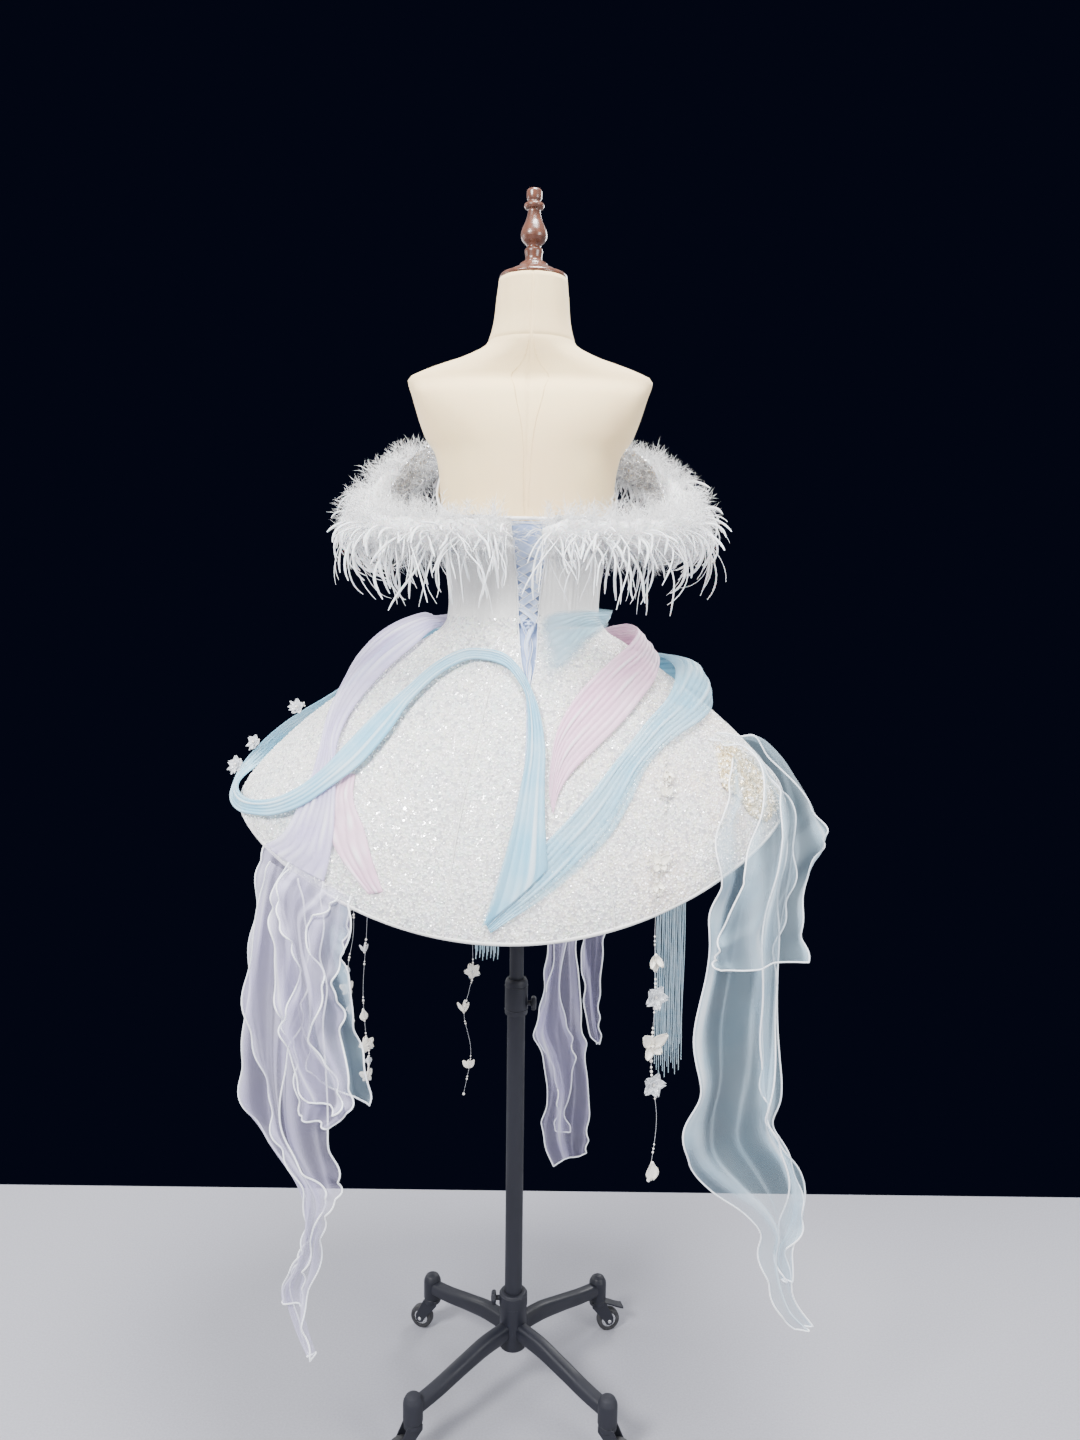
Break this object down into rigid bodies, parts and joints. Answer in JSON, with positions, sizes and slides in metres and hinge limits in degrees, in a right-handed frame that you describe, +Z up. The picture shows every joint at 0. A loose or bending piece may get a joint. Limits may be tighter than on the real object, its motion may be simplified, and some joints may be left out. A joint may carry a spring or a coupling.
{
  "type": "mini dress on dress form",
  "caption": "Short prom dress with laced bodice, feather off-shoulder trim, glitter bell skirt, organza swags and streamers, on a limbless dress form with a wheeled stand.",
  "frame": {"origin": "on the floor under the pole, bottom centre of the whole", "axes": "+Z up; the laced back of the dress faces -Y and its front +Y; +X is the wearer's right"},
  "size_m": [0.9063, 0.6234, 1.885],
  "materials": {
    "canvas": "matte cream canvas",
    "walnut": "dark walnut varnish",
    "satin": "soft satin with fine sparkle",
    "glitter": "white iridescent glitter",
    "ribbon": "periwinkle satin ribbon",
    "feather": "fluffy white feather",
    "sequin": "silver sequins",
    "aqua": "sheer aqua organza",
    "lavender": "sheer lavender organza",
    "pink": "sheer pink organza",
    "haze": "sheer lavender-white organza",
    "sky": "sheer pale blue organza",
    "champagne": "champagne beading",
    "petal": "ivory petals",
    "string": "pale blue string",
    "powder": "matte black powder coat",
    "wheel": "black rubber"
  },
  "bodies": {
    "base": {"base": "powder", "mast_lower": "powder", "clamp_knob_pole": "powder", "clamp_knob_hub": "powder"},
    "mast": {"mast_upper": "powder"},
    "form": {"form_torso": "canvas", "neck_cap": "walnut", "finial": "walnut", "bodice_back_left": "satin", "bodice_back_right": "satin", "bodice_side_left": "satin", "bodice_side_right": "satin", "bodice_front": "satin", "modesty_panel": "ribbon", "lacing": "ribbon", "lace_tail_left": "ribbon", "lace_tail_right": "ribbon", "skirt_back_centre_left": "glitter", "skirt_back_centre_right": "glitter", "skirt_back_side_left": "glitter", "skirt_back_side_right": "glitter", "skirt_front_side_left": "glitter", "skirt_front_side_right": "glitter", "skirt_front_centre": "glitter", "sleeve_band_left": "sequin", "feather_trim_left": "feather", "sleeve_band_right": "sequin", "feather_trim_right": "feather", "swag_blue_left": "aqua", "swag_lavender_left": "lavender", "swag_pink_left": "pink", "swag_pink_right": "pink", "swag_blue_right": "aqua", "swag_aqua_right": "sky", "applique": "champagne", "streamer_left_long": "haze", "streamer_left_short": "haze", "streamer_left_blue": "sky", "streamer_front_long": "haze", "streamer_front_short": "haze", "streamer_right_long": "sky", "streamer_right_ruffle": "sky", "strand_right": "petal", "strand_centre": "petal", "strand_left_front": "petal", "strand_left_side": "petal", "loop_flower_1": "petal", "loop_flower_2": "petal", "loop_flower_3": "petal", "tassel_centre": "string", "tassel_right": "string"},
    "fork_near_right": {"caster_fork_near_right": "powder"},
    "wheel_near_right": {"caster_wheel_near_right": "wheel"},
    "fork_far_right": {"caster_fork_far_right": "powder"},
    "wheel_far_right": {"caster_wheel_far_right": "wheel"},
    "fork_far_left": {"caster_fork_far_left": "powder"},
    "wheel_far_left": {"caster_wheel_far_left": "wheel"},
    "fork_near_left": {"caster_fork_near_left": "powder"},
    "wheel_near_left": {"caster_wheel_near_left": "wheel"}
  },
  "joints": [
    {"name": "mast_slide", "type": "slide", "parent": "base", "child": "mast", "axis": [0, 0, 1], "range_m": [-0.05, 0.15]},
    {"name": "form_turn", "type": "hinge", "parent": "mast", "child": "form", "pos_m": [0, 0, 1.06], "axis": [0, 0, 1], "continuous": true},
    {"name": "swivel_near_right", "type": "hinge", "parent": "base", "child": "fork_near_right", "pos_m": [0.14637, -0.14637, 0.06], "axis": [0, 0, 1], "continuous": true},
    {"name": "roll_near_right", "type": "hinge", "parent": "fork_near_right", "child": "wheel_near_right", "pos_m": [0.16516, -0.15321, 0.02], "axis": [0.342, 0.9397, 0], "continuous": true},
    {"name": "swivel_far_right", "type": "hinge", "parent": "base", "child": "fork_far_right", "pos_m": [0.14637, 0.14637, 0.06], "axis": [0, 0, 1], "continuous": true},
    {"name": "roll_far_right", "type": "hinge", "parent": "fork_far_right", "child": "wheel_far_right", "pos_m": [0.16569, 0.15155, 0.02], "axis": [-0.2588, 0.9659, 0], "continuous": true},
    {"name": "swivel_far_left", "type": "hinge", "parent": "base", "child": "fork_far_left", "pos_m": [-0.14637, 0.14637, 0.06], "axis": [0, 0, 1], "continuous": true},
    {"name": "roll_far_left", "type": "hinge", "parent": "fork_far_left", "child": "wheel_far_left", "pos_m": [-0.16516, 0.15321, 0.02], "axis": [-0.342, -0.9397, 0], "continuous": true},
    {"name": "swivel_near_left", "type": "hinge", "parent": "base", "child": "fork_near_left", "pos_m": [-0.14637, -0.14637, 0.06], "axis": [0, 0, 1], "continuous": true},
    {"name": "roll_near_left", "type": "hinge", "parent": "fork_near_left", "child": "wheel_near_left", "pos_m": [-0.1645, -0.15482, 0.02], "axis": [0.4226, -0.9063, 0], "continuous": true}
  ]
}
